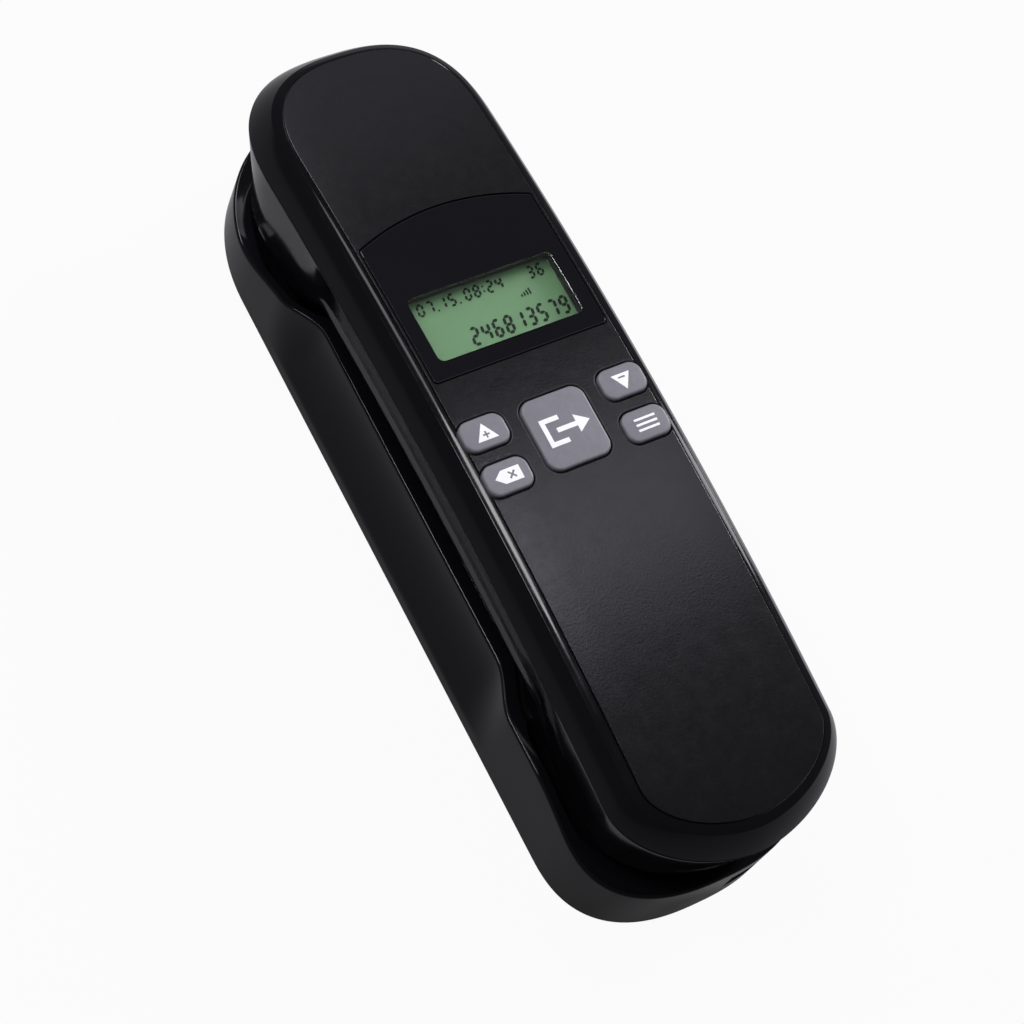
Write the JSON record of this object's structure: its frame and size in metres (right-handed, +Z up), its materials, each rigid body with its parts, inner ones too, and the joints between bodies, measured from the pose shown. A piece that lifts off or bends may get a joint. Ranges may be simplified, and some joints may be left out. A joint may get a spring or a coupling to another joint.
{
  "type": "corded telephone",
  "caption": "Slim corded telephone: an arched handset with a display and buttons on its back lies face down in a long cradle base with a hook plunger and cord sockets.",
  "frame": {"origin": "centre of the bounding box in plan, on the surface the feet stand on", "axes": "+Z up, +Y along the telephone towards the ear end, +X to the right when the mouth end is nearest"},
  "size_m": [0.0596, 0.205, 0.0573],
  "materials": {
    "gloss_black": "gloss",
    "matte_black": "matte",
    "lens_black": "gloss",
    "film_black": "matte",
    "lcd_glass": "satin",
    "key_grey": "satin",
    "key_black": "satin",
    "board_green": "satin",
    "black_rubber": "matte",
    "silicone_grey": "matte",
    "steel": "satin",
    "dark_grey": "matte",
    "socket_black": "satin"
  },
  "bodies": {
    "base": {"base_top_shell": "gloss_black", "base_bottom_cover": "matte_black", "foot_1": "black_rubber", "foot_2": "black_rubber", "foot_3": "black_rubber", "foot_4": "black_rubber", "base_screw_1": "steel", "base_screw_2": "steel", "base_screw_3": "steel", "base_screw_4": "steel", "base_weight": "steel", "base_board": "board_green", "base_handset_jack": "socket_black", "line_jack": "socket_black", "hook_spring": "steel", "hook_switch": "dark_grey", "ringer_buzzer": "dark_grey", "ringer_switch_body": "dark_grey"},
    "handset": {"handset_back_shell": "gloss_black", "handset_front_shell": "gloss_black", "lcd_lens": "lens_black", "lens_mask": "film_black", "lcd_panel": "lcd_glass", "lcd_holder": "dark_grey", "lcd_strip": "black_rubber", "display_board": "board_green", "keypad_board": "board_green", "back_key_mat": "silicone_grey", "front_key_mat": "silicone_grey", "receiver_gasket": "black_rubber", "receiver_capsule": "dark_grey", "microphone_capsule": "steel", "mic_boot": "black_rubber", "handset_jack": "socket_black", "handset_screw_1": "steel", "handset_screw_2": "steel"},
    "plunger": {"hook_plunger": "dark_grey"},
    "ringer_knob": {"ringer_switch_knob": "key_grey"},
    "out_key": {"out_key": "key_grey"},
    "up_key": {"up_key": "key_grey"},
    "down_key": {"down_key": "key_grey"},
    "delete_key": {"delete_key": "key_grey"},
    "menu_key": {"menu_key": "key_grey"},
    "key_1": {"key_1": "key_black"},
    "key_2": {"key_2": "key_black"},
    "key_3": {"key_3": "key_black"},
    "key_4": {"key_4": "key_black"},
    "key_5": {"key_5": "key_black"},
    "key_6": {"key_6": "key_black"},
    "key_7": {"key_7": "key_black"},
    "key_8": {"key_8": "key_black"},
    "key_9": {"key_9": "key_black"},
    "key_star": {"key_star": "key_black"},
    "key_0": {"key_0": "key_black"},
    "key_hash": {"key_hash": "key_black"},
    "redial_key": {"redial_key": "key_black"},
    "flash_key": {"flash_key": "key_black"}
  },
  "joints": [
    {"name": "handset_lift", "type": "slide", "parent": "base", "child": "handset", "axis": [0, 0, 1], "range_m": [0, 0.08]},
    {"name": "hook_slide", "type": "slide", "parent": "base", "child": "plunger", "axis": [0, 0, 1], "range_m": [0, 0.004], "deforming": ["hook_spring"]},
    {"name": "ringer_slide", "type": "slide", "parent": "base", "child": "ringer_knob", "axis": [0, 1, 0], "range_m": [0, 0.003]},
    {"name": "out_key_press", "type": "slide", "parent": "handset", "child": "out_key", "axis": [0, 0, -1], "range_m": [0, 0.0006], "stiffness_N_per_m": 600},
    {"name": "up_key_press", "type": "slide", "parent": "handset", "child": "up_key", "axis": [0, 0, -1], "range_m": [0, 0.0006], "stiffness_N_per_m": 600},
    {"name": "down_key_press", "type": "slide", "parent": "handset", "child": "down_key", "axis": [0, 0, -1], "range_m": [0, 0.0006], "stiffness_N_per_m": 600},
    {"name": "delete_key_press", "type": "slide", "parent": "handset", "child": "delete_key", "axis": [0, 0, -1], "range_m": [0, 0.0006], "stiffness_N_per_m": 600},
    {"name": "menu_key_press", "type": "slide", "parent": "handset", "child": "menu_key", "axis": [0, 0, -1], "range_m": [0, 0.0006], "stiffness_N_per_m": 600},
    {"name": "key_1_press", "type": "slide", "parent": "handset", "child": "key_1", "axis": [0, 0, 1], "range_m": [0, 0.0009], "stiffness_N_per_m": 600},
    {"name": "key_2_press", "type": "slide", "parent": "handset", "child": "key_2", "axis": [0, 0, 1], "range_m": [0, 0.0009], "stiffness_N_per_m": 600},
    {"name": "key_3_press", "type": "slide", "parent": "handset", "child": "key_3", "axis": [0, 0, 1], "range_m": [0, 0.0009], "stiffness_N_per_m": 600},
    {"name": "key_4_press", "type": "slide", "parent": "handset", "child": "key_4", "axis": [0, 0, 1], "range_m": [0, 0.0009], "stiffness_N_per_m": 600},
    {"name": "key_5_press", "type": "slide", "parent": "handset", "child": "key_5", "axis": [0, 0, 1], "range_m": [0, 0.0009], "stiffness_N_per_m": 600},
    {"name": "key_6_press", "type": "slide", "parent": "handset", "child": "key_6", "axis": [0, 0, 1], "range_m": [0, 0.0009], "stiffness_N_per_m": 600},
    {"name": "key_7_press", "type": "slide", "parent": "handset", "child": "key_7", "axis": [0, 0, 1], "range_m": [0, 0.0009], "stiffness_N_per_m": 600},
    {"name": "key_8_press", "type": "slide", "parent": "handset", "child": "key_8", "axis": [0, 0, 1], "range_m": [0, 0.0009], "stiffness_N_per_m": 600},
    {"name": "key_9_press", "type": "slide", "parent": "handset", "child": "key_9", "axis": [0, 0, 1], "range_m": [0, 0.0009], "stiffness_N_per_m": 600},
    {"name": "key_star_press", "type": "slide", "parent": "handset", "child": "key_star", "axis": [0, 0, 1], "range_m": [0, 0.0009], "stiffness_N_per_m": 600},
    {"name": "key_0_press", "type": "slide", "parent": "handset", "child": "key_0", "axis": [0, 0, 1], "range_m": [0, 0.0009], "stiffness_N_per_m": 600},
    {"name": "key_hash_press", "type": "slide", "parent": "handset", "child": "key_hash", "axis": [0, 0, 1], "range_m": [0, 0.0009], "stiffness_N_per_m": 600},
    {"name": "redial_key_press", "type": "slide", "parent": "handset", "child": "redial_key", "axis": [0, 0, 1], "range_m": [0, 0.0009], "stiffness_N_per_m": 600},
    {"name": "flash_key_press", "type": "slide", "parent": "handset", "child": "flash_key", "axis": [0, 0, 1], "range_m": [0, 0.0009], "stiffness_N_per_m": 600}
  ],
  "couplings": [
    {"joint": "hook_slide", "follows": "handset_lift", "ratio": 0.05}
  ]
}
